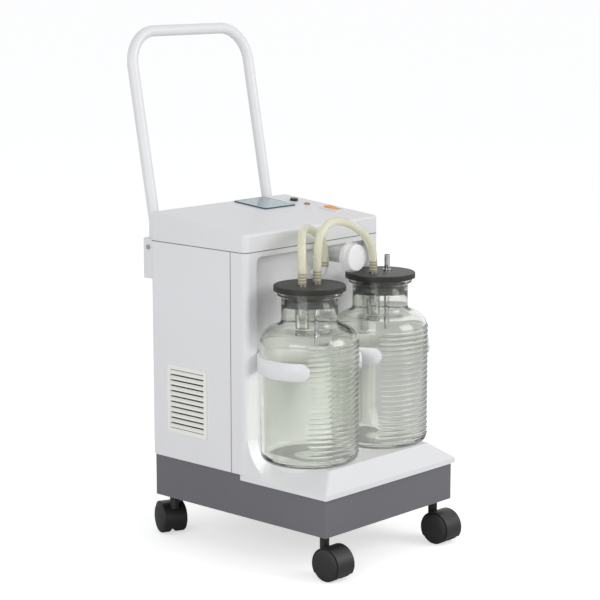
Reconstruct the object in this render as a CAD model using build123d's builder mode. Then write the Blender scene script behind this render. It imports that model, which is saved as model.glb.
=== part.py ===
from build123d import *
import os
from math import cos, radians, sin, tan

# Two-jar vacuum aspirator on twin-wheel castors.
# Millimetres, +X to the object's right, -Y to its front, +Z up, floor at Z = 0.

os.makedirs("parts", exist_ok=True)


def save(part, name):
    """Label a finished piece and write it as its own file."""
    part.label = name
    export_step(part, f"parts/{name}.step")


# Base tray
base_width = 272.0
base_depth = 332.0
base_height = 61.3
base_wall = 2.0
base_corner = 3.0
fit_gap = 0.3

# Castors
castor_height = 61.5
wheel_radius = 22.5
wheel_width = 16.5
wheel_dome = 2.0
wheel_gap = 4.6
wheel_edge = 3.0
axle_radius = 3.0
axle_clearance = 0.05
castor_trail = 16.0
hood_gap = 0.6
hood_wall = 1.3
hood_step = 2.6
hood_foot = 9.0
neck_radius = 6.5
stem_radius = 5.5
stem_clearance = 0.05
stem_length = 34.0
castor_inset = 19.0
socket_side = 24.0
socket_sleeve = 7.5
socket_flange_radius = 9.0
socket_flange = 1.5

# Cabinet and its covers
cabinet_depth = 159.0
cabinet_corner = 5.0
sheet = 1.5
flange_width = 12.0
seam_above_stoppers = 43.5
fascia_depth = 29.0
moulding_wall = 3.0
fascia_corner = 9.0
cover_front_height = 25.0
cover_rear_height = 41.5
cover_edge = 7.0
deck_thickness = 2.0

# Recess behind the jars
recess_depth = 14.0
jar_side_room = 43.5
recess_top_margin = 7.5
recess_corner = 9.0
stile_foot = 26.0

# Jar tray
tray_overhang = 4.0
lip_height = 7.0
lip_drop = 8.0
platform_height = 84.5
platform_side_margin = 34.0
platform_front_margin = 24.0
lip_rear_gap = 14.0

# Jars
jar_pitch = 149.0
jar_to_recess = 72.6
jar_radius = 68.0
jar_wall = 3.5
jar_foot = 6.0
jar_heel = 10.0
jar_height = 237.5
shoulder_height = 182.0
shoulder_rise = 10.0
shoulder_round = 24.0
neck_round = 8.0
neck_outer = 39.5
neck_bore = 36.3
jar_lip_radius = 45.0
jar_lip_height = 9.0
rib_count = 22
rib_pitch = 7.4
rib_first = 11.0
rib_height = 2.0
rib_proud = 0.9
rib_half_angle = 50.0

# Stoppers, suction pipes and float valves
stopper_radius = 49.8
stopper_flange = 7.5
stopper_edge = 1.5
plug_depth = 20.0
plug_taper = 1.5
pipe_spread = 30.0
pipe_radius = 4.0
pipe_bore = 3.0
pipe_rise = 23.0
hosed_pipe_rise = 18.0
pipe_collar_radius = 6.0
pipe_collar_height = 2.0
inlet_pipe_drop = 55.0
float_pipe_drop = 6.0
cage_radius = 9.5
cage_wall = 1.5
cage_height = 38.0
cage_slots = 4
cage_slot_width = 6.0
float_radius = 7.0
float_height = 18.0

# Hoses
hose_radius = 5.8
hose_bore = 4.1

# Jar holders
holder_gap = 1.3
holder_wall = 3.0
holder_height = 25.0
holder_level = 136.0
holder_tip_angle = 42.6

# Regulator valve, knob and pump port
knob_radius = 21.0
knob_depth = 16.0
knob_step = 2.0
knob_x = 33.0
knob_below_seam = 20.0
knob_reach = 50.0
valve_radius = 10.0
valve_flange_radius = 12.0
valve_flange = 2.0
valve_gap = 0.5
spindle_radius = 3.0
spindle_length = 10.0
spindle_clearance = 0.05
port_x = 8.0
port_below_seam = 36.5
port_reach = 26.0
port_rise = 14.0
port_radius = 4.0
port_flange_radius = 9.0
port_bend = 7.0

# Vent grille
grille_width = 79.0
grille_height = 98.0
grille_proud = 2.5
grille_corner = 5.0
grille_rim = 6.0
grille_rear_margin = 34.0
grille_level = 162.0
louvre_count = 11
louvre_thickness = 2.6
louvre_rise = 2.6
louvre_setback = 0.5
louvre_root = 1.0

# Handle
handle_tube = 8.0
handle_bore = 6.5
handle_from_side = 22.0
handle_stand_off = 14.0
handle_seat = 3.0
bend_above_seam = 23.5
handle_lean = 10.6
handle_top = 726.0
handle_corner = 50.0
bracket_height = 57.5
bracket_width = 26.0
bracket_depth = 27.0
bracket_corner = 5.0
bracket_gap = 0.2
screw_radius = 3.5
screw_head = 2.0

# Control panel on the top cover
window_side = 62.0
window_from_side = 87.0
window_back = 41.0
window_corner = 4.0
gauge_depth = 26.0
gauge_wall = 2.0
dial_thickness = 1.0
glass_thickness = 2.0
needle_length = 24.0
needle_tail = 7.0
needle_width = 1.6
needle_thickness = 0.8
pivot_radius = 1.5
pivot_clearance = 0.05
fuse_from_side = 29.0
fuse_back = 46.0
fuse_radius = 6.0
lamp_from_side = 32.5
lamp_back = 76.0
lamp_radius = 4.5
rocker_from_side = 26.5
rocker_back = 122.0
rocker_length = 30.0
rocker_width = 18.0
rocker_rim = 2.0
rocker_gap = 0.5
rocker_tilt = 8.0

# Pump set inside the cabinet
pump_x = 0.0
pump_y_margin = 78.0
motor_radius = 42.0
motor_length = 70.0
shaft_radius = 5.0
shaft_clearance = 0.05
shaft_overhang = 26.0
head_width = 50.0
head_height = 82.0
head_length = 34.0
plate_thickness = 3.0
plate_length = 200.0
plate_width = 110.0
mount_radius = 10.0
mount_height = 14.0
mount_pitch_x = 170.0
mount_pitch_y = 84.0
fan_radius = 38.0
fan_hub = 12.0
fan_width = 12.0
fan_blades = 7
fan_blade = 2.0
fan_pitch_angle = 35.0

# Mains inlet
inlet_width = 28.0
inlet_height = 21.0
inlet_level = 160.0
inlet_depth = 16.0
inlet_wall = 2.0
inlet_rim = 4.0
pin_length = 11.0

# Heights above the floor
base_top = castor_height + base_height
platform_z = castor_height + platform_height
jar_lip_z = platform_z + jar_height
stopper_top = jar_lip_z + stopper_flange
seam_height = stopper_top + seam_above_stoppers
recess_top = seam_height - recess_top_margin
knob_z = seam_height - knob_below_seam
port_z = seam_height - port_below_seam
bracket_foot = seam_height - bracket_height
handle_foot = bracket_foot + handle_seat
handle_bend = seam_height + bend_above_seam

# Depths: the handle leans out behind, the tray reaches out in front
handle_reach = (handle_top - handle_bend) * tan(radians(handle_lean))
rear_reach = base_depth / 2 + handle_stand_off + handle_reach + handle_tube
stem_x = base_width / 2 - castor_inset
stem_y = base_depth / 2 - castor_inset
hood_inner = wheel_radius + hood_gap
hood_outer = hood_inner + hood_wall
front_reach = max(base_depth / 2 + tray_overhang, stem_y + castor_trail + hood_outer)
base_y = (front_reach - rear_reach) / 2
rear_y = base_y + base_depth / 2
seam_y = rear_y - cabinet_depth
fascia_y = seam_y - fascia_depth
recess_y = fascia_y + recess_depth
lip_y = base_y - base_depth / 2 - tray_overhang
jar_y = recess_y - jar_to_recess
handle_y = rear_y + handle_stand_off

# Castor stems stand on these corners; the angle turns each castor about its stem
castors = {
    "front_left": (-stem_x, base_y - stem_y, 0.0),
    "front_right": (stem_x, base_y - stem_y, 0.0),
    "rear_left": (-stem_x, base_y + stem_y, 156.0),
    "rear_right": (stem_x, base_y + stem_y, 195.0),
}

# BASE: a folded steel tray, open at the top
with BuildPart() as base_chassis:
    with BuildSketch(Plane.XY.offset(castor_height)):
        with Locations((0, base_y)):
            RectangleRounded(base_width, base_depth, base_corner)
    extrude(amount=base_height)
    with BuildSketch(Plane.XY.offset(castor_height + base_wall)):
        with Locations((0, base_y)):
            Rectangle(base_width - 2 * base_wall, base_depth - 2 * base_wall)
    extrude(amount=base_height, mode=Mode.SUBTRACT)
    with Locations([(x, y, castor_height) for x, y, turn in castors.values()]):
        Cylinder(socket_sleeve + fit_gap, 4 * base_wall, mode=Mode.SUBTRACT)
save(base_chassis.part, "base_chassis")

# Corner posts carry the deck and take the castor stems
post_height = base_height - base_wall - deck_thickness
stem_places = [(x, y) for x, y, turn in castors.values()]
with BuildPart() as castor_sockets:
    with BuildSketch(Plane.XY.offset(castor_height + base_wall)):
        with Locations(*stem_places):
            Rectangle(socket_side, socket_side)
    extrude(amount=post_height)
    with BuildSketch(Plane.XY.offset(castor_height - socket_flange)):
        with Locations(*stem_places):
            Circle(socket_flange_radius)
    extrude(amount=socket_flange)
    with BuildSketch(Plane.XY.offset(castor_height)):
        with Locations(*stem_places):
            Circle(socket_sleeve)
    extrude(amount=base_wall)
    with BuildSketch(Plane.XY.offset(castor_height - socket_flange)):
        with Locations(*stem_places):
            Circle(stem_radius + stem_clearance)
    extrude(amount=base_height, mode=Mode.SUBTRACT)
save(castor_sockets.part, "castor_sockets")

with BuildPart() as deck_plate:
    with BuildSketch(Plane.XY.offset(base_top - deck_thickness)):
        with Locations((0, base_y)):
            inner = base_wall + fit_gap
            Rectangle(base_width - 2 * inner, base_depth - 2 * inner)
    extrude(amount=deck_thickness)
save(deck_plate.part, "deck_plate")

# CASTORS: modelled once with the stem on the origin axis, then placed four times.
# The wheels trail towards -Y, so the axle runs along X.
axle_y = -castor_trail
wheel_offset = wheel_gap / 2
hood_half = wheel_offset + wheel_width
neck_top = castor_height - socket_flange - fit_gap
axle_plane = Plane(origin=(0, axle_y, wheel_radius), x_dir=(0, 1, 0), z_dir=(1, 0, 0))

with BuildPart() as castor_hood:
    # barrel hood round both wheels, open underneath
    with BuildSketch(axle_plane.offset(-hood_half + hood_step)):
        Circle(hood_outer)
        with Locations((0, hood_foot - wheel_radius - hood_outer)):
            Rectangle(4 * hood_outer, 2 * hood_outer, mode=Mode.SUBTRACT)
    extrude(amount=2 * (hood_half - hood_step))
    # neck and stem
    neck_foot = wheel_radius + hood_inner * 0.72
    with BuildSketch(Plane.XY.offset(neck_foot)):
        Circle(neck_radius)
    extrude(amount=neck_top - neck_foot)
    # hollow for a wheel on each side, which leaves a web between them
    with BuildSketch(axle_plane.offset(-hood_half)):
        Circle(hood_inner)
    extrude(amount=hood_half - wheel_offset + fit_gap, mode=Mode.SUBTRACT)
    with BuildSketch(axle_plane.offset(hood_half)):
        Circle(hood_inner)
    extrude(amount=-(hood_half - wheel_offset + fit_gap), mode=Mode.SUBTRACT)
    with BuildSketch(Plane.XY.offset(neck_top)):
        Circle(stem_radius)
    extrude(amount=stem_length)
    # axle through both wheels
    with BuildSketch(axle_plane.offset(-hood_half + wheel_edge)):
        Circle(axle_radius)
    extrude(amount=2 * (hood_half - wheel_edge))

# A solid wheel with a domed outer face and a blind bore
with BuildPart() as castor_wheel:
    with BuildSketch(Plane.XZ.offset(castor_trail)):
        with BuildLine():
            hub = axle_radius + axle_clearance
            inner_x = wheel_offset
            outer_x = wheel_offset + wheel_width
            blind_x = outer_x - wheel_edge + fit_gap
            rim_z = wheel_radius
            dome_x = outer_x + wheel_dome
            tread = Polyline(
                (dome_x, 0),
                (blind_x, 0),
                (blind_x, hub),
                (inner_x, hub),
                (inner_x, rim_z - wheel_edge),
                (inner_x + wheel_edge, rim_z),
                (outer_x - wheel_edge, rim_z),
            )
            Bezier(tread @ 1, (outer_x + wheel_dome / 2, rim_z), (dome_x, rim_z / 2), tread @ 0)
        make_face()
    revolve(axis=Axis((0, -castor_trail, 0), (1, 0, 0)))
right_wheel = castor_wheel.part.moved(Location((0, 0, wheel_radius)))
left_wheel = mirror(right_wheel, about=Plane.YZ)

for corner, (x, y, turn) in castors.items():
    stand = Location((x, y, 0), (0, 0, turn))
    save(castor_hood.part.moved(stand), f"castor_hood_{corner}")
    save(left_wheel.moved(stand), f"castor_wheel_{corner}_a")
    save(right_wheel.moved(stand), f"castor_wheel_{corner}_b")

# FRONT MOULDING: jar tray and fascia in one piece
lip_z = base_top - lip_drop
apron_z = lip_z + lip_height
tray_half = base_width / 2 + tray_overhang
lip_rear = fascia_y + lip_rear_gap
tray_y = (lip_y + lip_rear) / 2
tray_length = lip_rear - lip_y
platform_half = tray_half - platform_side_margin
platform_y = lip_y + platform_front_margin
platform_length = lip_rear - platform_y
cabinet_half = tray_half
cabinet_width = 2 * cabinet_half
handle_half_span = cabinet_half - handle_from_side
window_x = cabinet_half - window_from_side
fuse_x = cabinet_half - fuse_from_side
lamp_x = cabinet_half - lamp_from_side
rocker_x = cabinet_half - rocker_from_side
recess_half = jar_pitch / 2 + jar_side_room
wall = moulding_wall

with BuildPart() as front_moulding:
    # lip skirt and sloping apron
    with BuildSketch(Plane.XY.offset(lip_z)):
        with Locations((0, tray_y)):
            RectangleRounded(2 * tray_half, tray_length, base_corner)
    extrude(amount=lip_height)
    with BuildSketch(Plane.XY.offset(apron_z)) as lip_outline:
        with Locations((0, tray_y)):
            Rectangle(2 * tray_half, tray_length)
        fillet(lip_outline.vertices(), base_corner)
    with BuildSketch(Plane.XY.offset(platform_z)) as platform_outline:
        with Locations((0, (platform_y + lip_rear) / 2)):
            Rectangle(2 * platform_half, platform_length)
        fillet(platform_outline.vertices(), base_corner)
    loft()
    # fascia block with rounded front corners
    with BuildSketch(Plane.XY.offset(base_top)) as fascia_outline:
        with Locations((0, (fascia_y + seam_y) / 2)):
            Rectangle(cabinet_width, fascia_depth)
        fillet(fascia_outline.vertices().group_by(Axis.Y)[0], fascia_corner)
    extrude(amount=seam_height - base_top)
    # coves at the feet of the two stiles
    with BuildSketch(Plane.YZ.offset(-cabinet_half + fascia_corner / 3)):
        with BuildLine():
            foot_top = (fascia_y, platform_z + stile_foot)
            foot_front = (fascia_y - stile_foot, apron_z + lip_height)
            Line(foot_top, (fascia_y + wall, platform_z + stile_foot))
            Line((fascia_y + wall, platform_z + stile_foot), (fascia_y + wall, apron_z))
            Line((fascia_y + wall, apron_z), (foot_front[0], apron_z))
            Line((foot_front[0], apron_z), foot_front)
            bow = (fascia_y - stile_foot * 0.3, platform_z + stile_foot * 0.12)
            ThreePointArc(foot_front, bow, foot_top)
        make_face()
    extrude(amount=cabinet_width - 2 * fascia_corner / 3)
    # recess behind the jars
    recess_floor = platform_z
    recess_tall = recess_top - recess_floor
    recess_front = fascia_y - stile_foot - wall
    with BuildSketch(Plane.XZ.offset(-recess_y)) as recess_outline:
        with Locations((0, recess_floor + recess_tall / 2)):
            Rectangle(2 * recess_half, recess_tall)
        fillet(recess_outline.vertices().group_by(Axis.Y)[-1], recess_corner)
    extrude(amount=recess_y - recess_front, mode=Mode.SUBTRACT)
    # hollow behind the fascia, following the recess
    hollow_foot = platform_z + wall
    with BuildSketch(Plane.XY.offset(hollow_foot)):
        with Locations((0, (fascia_y + seam_y) / 2 + wall / 2)):
            Rectangle(cabinet_width - 2 * wall, fascia_depth - wall)
        with Locations((0, (fascia_y + recess_y) / 2 + wall)):
            Rectangle(2 * (recess_half + wall), recess_depth, mode=Mode.SUBTRACT)
    extrude(amount=seam_height - hollow_foot - wall, mode=Mode.SUBTRACT)
    # hollow under the tray
    with BuildSketch(Plane.XY.offset(lip_z)):
        with Locations((0, (lip_y + wall + seam_y) / 2)):
            Rectangle(2 * (tray_half - wall), seam_y - lip_y - wall)
    extrude(amount=lip_drop, mode=Mode.SUBTRACT)
    with BuildSketch(Plane.XY.offset(base_top)):
        with Locations((0, (lip_y + 2 * wall + seam_y) / 2)):
            Rectangle(2 * (tray_half - 3 * wall), seam_y - lip_y - 2 * wall)
    with BuildSketch(Plane.XY.offset(platform_z - wall)):
        with Locations((0, (platform_y + seam_y) / 2)):
            Rectangle(2 * platform_half, seam_y - platform_y)
    loft(mode=Mode.SUBTRACT)
    # ring ribs under the jars rest on the deck
    with BuildSketch(Plane.XY.offset(base_top)):
        for side in (-1, 1):
            with Locations((side * jar_pitch / 2, jar_y)):
                Circle(jar_radius * 0.7)
                Circle(jar_radius * 0.7 - wall, mode=Mode.SUBTRACT)
    extrude(amount=platform_z - wall - base_top)
    # holes for the valve and the port
    with BuildSketch(Plane.XZ.offset(-recess_y - wall)):
        with Locations((knob_x, knob_z)):
            Circle(valve_radius + fit_gap)
        with Locations((port_x, port_z - port_bend)):
            Circle(port_radius + fit_gap)
    extrude(amount=2 * wall, mode=Mode.SUBTRACT)
save(front_moulding.part, "front_moulding")

# CABINET SHELL: folded sheet round the rear and both sides
shell_height = seam_height - base_top
vent_y = rear_y - grille_rear_margin - grille_width / 2
vent_z = grille_level + grille_height / 2
opening_width = grille_width - 2 * grille_rim
opening_height = grille_height - 2 * grille_rim
with BuildPart() as cabinet_shell:
    with BuildSketch(Plane.XY.offset(base_top)) as shell_outline:
        with Locations((0, (seam_y + rear_y) / 2)):
            Rectangle(cabinet_width, cabinet_depth)
        fillet(shell_outline.vertices().group_by(Axis.Y)[-1], cabinet_corner)
    extrude(amount=shell_height)
    with BuildSketch(Plane.XY.offset(base_top + sheet)) as shell_inside:
        with Locations((0, (seam_y + rear_y) / 2 - sheet)):
            Rectangle(cabinet_width - 2 * sheet, cabinet_depth)
        fillet(shell_inside.vertices().group_by(Axis.Y)[-1], cabinet_corner - sheet)
    extrude(amount=shell_height - 2 * sheet, mode=Mode.SUBTRACT)
    # turned-in flanges at the foot and the top
    with BuildSketch(Plane.XY.offset(base_top)):
        with Locations((0, (seam_y + rear_y) / 2 - flange_width)):
            Rectangle(cabinet_width - 2 * flange_width, cabinet_depth)
    extrude(amount=shell_height, mode=Mode.SUBTRACT)
    # vent and mains inlet openings
    with BuildSketch(Plane.YZ.offset(-cabinet_half)):
        with Locations((vent_y, vent_z)):
            Rectangle(opening_width, opening_height)
    extrude(amount=2 * sheet, mode=Mode.SUBTRACT)
    with BuildSketch(Plane.XZ.offset(-rear_y)):
        with Locations((0, inlet_level)):
            Rectangle(inlet_width + 2 * fit_gap, inlet_height + 2 * fit_gap)
    extrude(amount=2 * sheet, mode=Mode.SUBTRACT)
save(cabinet_shell.part, "cabinet_shell")

# VENT GRILLE: raised frame with sloping louvres
with BuildPart() as vent_grille:
    with BuildSketch(Plane.YZ.offset(-cabinet_half - grille_proud)):
        with Locations((vent_y, vent_z)):
            RectangleRounded(grille_width, grille_height, grille_corner)
            Rectangle(opening_width, opening_height, mode=Mode.SUBTRACT)
    extrude(amount=grille_proud)
    louvre_pitch = opening_height / louvre_count
    slat_depth = grille_proud - louvre_setback
    with BuildSketch(Plane.XZ.offset(-vent_y - opening_width / 2 - louvre_root)):
        for row in range(louvre_count):
            foot = grille_level + grille_rim + louvre_root + row * louvre_pitch
            with BuildLine():
                Polyline(
                    (-cabinet_half - slat_depth, foot),
                    (-cabinet_half - slat_depth, foot + louvre_thickness),
                    (-cabinet_half, foot + louvre_thickness + louvre_rise),
                    (-cabinet_half, foot + louvre_rise),
                    close=True,
                )
            make_face()
    extrude(amount=opening_width + 2 * louvre_root)
save(vent_grille.part, "vent_grille")

# TOP COVER: a wedge with the control panel on its slope
cover_length = cabinet_depth + fascia_depth
cover_mid = (fascia_y + rear_y) / 2
panel_rise = cover_rear_height - cover_front_height
panel_angle = panel_rise / cover_length


def panel_z(y):
    """Height of the sloping panel at a depth y."""
    return seam_height + cover_front_height + (y - fascia_y) * panel_angle


# the panel's own plane: local x to the right, local y back and up the slope
panel_plane = Plane(
    origin=(0, rear_y, panel_z(rear_y)), x_dir=(1, 0, 0), z_dir=(0, -panel_angle, 1)
)


def wedge(inset):
    """Corners of the cover's side profile, set in by a wall."""
    return [
        (fascia_y + inset, seam_height),
        (fascia_y + inset, panel_z(fascia_y) - inset),
        (rear_y - inset, panel_z(rear_y) - inset),
        (rear_y - inset, seam_height),
    ]


with BuildPart() as top_cover:
    with BuildSketch(Plane.YZ.offset(-cabinet_half)):
        with BuildLine():
            Polyline(*wedge(0), close=True)
        make_face()
    extrude(amount=cabinet_width)
    fillet(top_cover.edges().filter_by(Axis.Z).group_by(Axis.Y)[0], fascia_corner)
    fillet(top_cover.edges().filter_by(Axis.Z).group_by(Axis.Y)[-1], cabinet_corner)
    top_face = top_cover.faces().filter_by(lambda face: face.normal_at().Z > 0.9).sort_by(Axis.Z)[-1]
    fillet(top_face.edges(), cover_edge / 2)
    with BuildSketch(Plane.YZ.offset(-cabinet_half + wall)):
        with BuildLine():
            Polyline(*wedge(wall), close=True)
        make_face()
    extrude(amount=cabinet_width - 2 * wall, mode=Mode.SUBTRACT)
    # panel openings
    with BuildSketch(panel_plane):
        with Locations((window_x, -window_back)):
            Rectangle(window_side, window_side)
        with Locations((fuse_x, -fuse_back)):
            Circle(fuse_radius * 0.7 + fit_gap)
        with Locations((lamp_x, -lamp_back)):
            Circle(lamp_radius * 0.7 + fit_gap)
        with Locations((rocker_x, -rocker_back)):
            Rectangle(rocker_width, rocker_length)
    extrude(amount=-2 * wall, mode=Mode.SUBTRACT)
save(top_cover.part, "top_cover")

# VACUUM GAUGE: case, dial, window and needle under the square opening
case_side = window_side - 2 * fit_gap
with BuildPart() as gauge_case:
    with BuildSketch(panel_plane.offset(0.0)):
        with Locations((window_x, -window_back)):
            RectangleRounded(window_side + 2 * gauge_wall, window_side + 2 * gauge_wall, window_corner)
    extrude(amount=gauge_wall)
    with BuildSketch(panel_plane):
        with Locations((window_x, -window_back)):
            Rectangle(case_side, case_side)
    extrude(amount=-gauge_depth)
    with BuildSketch(panel_plane.offset(gauge_wall)):
        with Locations((window_x, -window_back)):
            Rectangle(case_side - 2 * gauge_wall, case_side - 2 * gauge_wall)
    extrude(amount=-gauge_depth, mode=Mode.SUBTRACT)
save(gauge_case.part, "gauge_case")

inner_side = case_side - 2 * gauge_wall - 2 * fit_gap
dial_floor = -gauge_depth + gauge_wall
with BuildPart() as gauge_dial:
    with BuildSketch(panel_plane.offset(dial_floor)):
        with Locations((window_x, -window_back)):
            Rectangle(inner_side, inner_side)
            Circle(pivot_radius + pivot_clearance, mode=Mode.SUBTRACT)
    extrude(amount=dial_thickness * 8)
save(gauge_dial.part, "gauge_dial")

with BuildPart() as gauge_window:
    with BuildSketch(panel_plane.offset(gauge_wall - glass_thickness)):
        with Locations((window_x, -window_back)):
            Rectangle(inner_side + 2 * fit_gap, inner_side + 2 * fit_gap)
    extrude(amount=glass_thickness)
save(gauge_window.part, "gauge_window")

dial_face = dial_floor + dial_thickness * 8
with BuildPart() as gauge_needle:
    with BuildSketch(panel_plane.offset(dial_floor + fit_gap)):
        with Locations((window_x, -window_back)):
            Circle(pivot_radius)
    extrude(amount=dial_thickness * 8 + 1)
    with BuildSketch(panel_plane.offset(dial_face + 1)):
        with Locations((window_x, -window_back)):
            Circle(2 * pivot_radius)
        with Locations(Location((window_x, -window_back), 135)):
            with Locations(((needle_length - needle_tail) / 2, 0)):
                Rectangle(needle_length + needle_tail, needle_width)
    extrude(amount=needle_thickness)
save(gauge_needle.part, "gauge_needle")

# FUSE HOLDER, LAMP and POWER ROCKER
with BuildPart() as fuse_holder:
    with BuildSketch(panel_plane):
        with Locations((fuse_x, -fuse_back)):
            Circle(fuse_radius)
    extrude(amount=4)
    fillet(fuse_holder.edges().group_by(Axis.Z)[-1], 1)
    with BuildSketch(panel_plane):
        with Locations((fuse_x, -fuse_back)):
            Circle(fuse_radius * 0.7)
    extrude(amount=-24)
save(fuse_holder.part, "fuse_holder")

with BuildPart() as indicator_lamp:
    with BuildSketch(panel_plane):
        with Locations((lamp_x, -lamp_back)):
            Circle(lamp_radius)
    extrude(amount=2.5)
    fillet(indicator_lamp.edges().group_by(Axis.Z)[-1], 1.5)
    with BuildSketch(panel_plane):
        with Locations((lamp_x, -lamp_back)):
            Circle(lamp_radius * 0.7)
    extrude(amount=-18)
save(indicator_lamp.part, "indicator_lamp")

frame_depth = 20.0
with BuildPart() as switch_frame:
    with BuildSketch(panel_plane):
        with Locations((rocker_x, -rocker_back)):
            RectangleRounded(rocker_width + 2 * rocker_rim, rocker_length + 2 * rocker_rim, 1.5)
    extrude(amount=rocker_rim)
    with BuildSketch(panel_plane):
        with Locations((rocker_x, -rocker_back)):
            Rectangle(rocker_width - 2 * fit_gap, rocker_length - 2 * fit_gap)
    extrude(amount=-frame_depth)
    with BuildSketch(panel_plane.offset(rocker_rim)):
        with Locations((rocker_x, -rocker_back)):
            Rectangle(rocker_width - 2 * rocker_rim, rocker_length - 2 * rocker_rim)
    extrude(amount=-frame_depth, mode=Mode.SUBTRACT)
save(switch_frame.part, "switch_frame")

rocker_half = rocker_length / 2 - rocker_rim - rocker_gap - 0.8
rocker_wide = rocker_width - 2 * rocker_rim - 2 * rocker_gap
rocker_axis_plane = Plane(
    origin=panel_plane.from_local_coords((rocker_x, -rocker_back, 0)),
    x_dir=(0, 1, panel_angle),
    z_dir=(1, 0, 0),
)
with BuildPart() as power_rocker:
    with BuildSketch(rocker_axis_plane.offset(-rocker_wide / 2)):
        with BuildLine():
            drop = rocker_half * tan(radians(rocker_tilt))
            crest = 3.0
            Polyline(
                (-rocker_half, crest - 2 * drop),
                (0, crest),
                (rocker_half, crest + drop * 0.6),
                (rocker_half, -4.0),
                (0, -10.0),
                (-rocker_half, -4.0),
                close=True,
            )
        make_face()
    extrude(amount=rocker_wide)
save(power_rocker.part, "power_rocker")

# JARS: blown glass with a rounded shoulder, a lipped neck and cast graduation ribs
with BuildPart() as jar_blank:
    with BuildSketch(Plane.XZ):
        with BuildLine():
            outside = FilletPolyline(
                (jar_foot, 0),
                (jar_radius, 0),
                (jar_radius, shoulder_height),
                (neck_outer, shoulder_height + shoulder_rise),
                (neck_outer, jar_height - jar_lip_height),
                radius=[jar_heel, shoulder_round, neck_round],
            )
            Line((0, 0), outside @ 0)
            Line(outside @ 1, (jar_lip_radius, jar_height - jar_lip_height * 0.7))
            Line((jar_lip_radius, jar_height - jar_lip_height * 0.7), (jar_lip_radius, jar_height))
            Line((jar_lip_radius, jar_height), (neck_bore, jar_height))
            inside_radius = jar_radius - jar_wall
            inside = FilletPolyline(
                (neck_bore, jar_height),
                (neck_bore, shoulder_height + shoulder_rise - jar_wall),
                (inside_radius, shoulder_height - jar_wall),
                (inside_radius, jar_foot),
                (jar_foot, jar_foot),
                radius=[neck_round + jar_wall, shoulder_round - jar_wall, jar_heel - jar_wall],
            )
            Line(inside @ 1, (0, jar_foot))
            Line((0, jar_foot), (0, 0))
        make_face()
    revolve(axis=Axis.Z)
    # graduation ribs on the front of the wall
    with BuildSketch(Plane.YZ):
        for row in range(rib_count):
            level = rib_first + row * rib_pitch
            with BuildLine():
                Polyline(
                    (-jar_radius + fit_gap, level),
                    (-jar_radius - rib_proud, level + rib_height / 2),
                    (-jar_radius + fit_gap, level + rib_height),
                    close=True,
                )
            make_face()
    revolve(axis=Axis.Z, revolution_arc=rib_half_angle)
    with BuildSketch(Plane.YZ):
        for row in range(rib_count):
            level = rib_first + row * rib_pitch
            with BuildLine():
                Polyline(
                    (-jar_radius + fit_gap, level),
                    (-jar_radius - rib_proud, level + rib_height / 2),
                    (-jar_radius + fit_gap, level + rib_height),
                    close=True,
                )
            make_face()
    revolve(axis=Axis.Z, revolution_arc=-rib_half_angle)

# STOPPER: flange on the jar's lip, tapered plug in its neck
with BuildPart() as stopper_blank:
    with BuildSketch(Plane.XZ):
        with BuildLine():
            plug_radius = neck_bore - fit_gap
            Polyline(
                (0, -plug_depth),
                (plug_radius - plug_taper, -plug_depth),
                (plug_radius, 0),
                (stopper_radius, 0),
                (stopper_radius, stopper_flange),
                (0, stopper_flange),
                close=True,
            )
        make_face()
    revolve(axis=Axis.Z)
    fillet(stopper_blank.edges().group_by(Axis.Z)[-1], stopper_edge)
    with Locations((-pipe_spread / 2, 0, 0), (pipe_spread / 2, 0, 0)):
        Cylinder(pipe_radius + axle_clearance, 4 * plug_depth, mode=Mode.SUBTRACT)


def pipe(rise, drop):
    """A steel suction pipe through a stopper, with a collar on its top."""
    with BuildPart() as tube:
        with BuildSketch(Plane.XY.offset(-plug_depth - drop)):
            Circle(pipe_radius)
        extrude(amount=plug_depth + drop + stopper_flange + rise)
        with BuildSketch(Plane.XY.offset(stopper_flange)):
            Circle(pipe_collar_radius)
        extrude(amount=pipe_collar_height)
        with BuildSketch(Plane.XY.offset(-plug_depth - drop)):
            Circle(pipe_bore)
        extrude(amount=2 * jar_height, mode=Mode.SUBTRACT)
    return tube.part


# FLOAT VALVE: a slotted cage round the outlet pipe's end, and the float in it
with BuildPart() as cage_blank:
    with BuildSketch(Plane.XY.offset(-plug_depth - cage_height)):
        Circle(cage_radius)
    extrude(amount=cage_height)
    with BuildSketch(Plane.XY.offset(-plug_depth - cage_height + cage_wall)):
        Circle(cage_radius - cage_wall)
    extrude(amount=cage_height - cage_wall - float_pipe_drop, mode=Mode.SUBTRACT)
    with BuildSketch(Plane.XY.offset(-plug_depth - float_pipe_drop)):
        Circle(pipe_radius + axle_clearance)
    extrude(amount=2 * float_pipe_drop, mode=Mode.SUBTRACT)
    slot_foot = -plug_depth - cage_height + 2 * cage_wall
    slot_height = cage_height - float_pipe_drop - 5 * cage_wall
    with BuildSketch(Plane.XY.offset(slot_foot)):
        with PolarLocations(cage_radius, cage_slots):
            Rectangle(4 * cage_wall, cage_slot_width)
    extrude(amount=slot_height, mode=Mode.SUBTRACT)

float_foot = -plug_depth - cage_height + cage_wall
with BuildPart() as float_blank:
    with BuildSketch(Plane.XY.offset(float_foot)):
        Circle(float_radius)
    extrude(amount=float_height)
    fillet(float_blank.edges().filter_by(GeomType.CIRCLE), 1.5)

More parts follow.
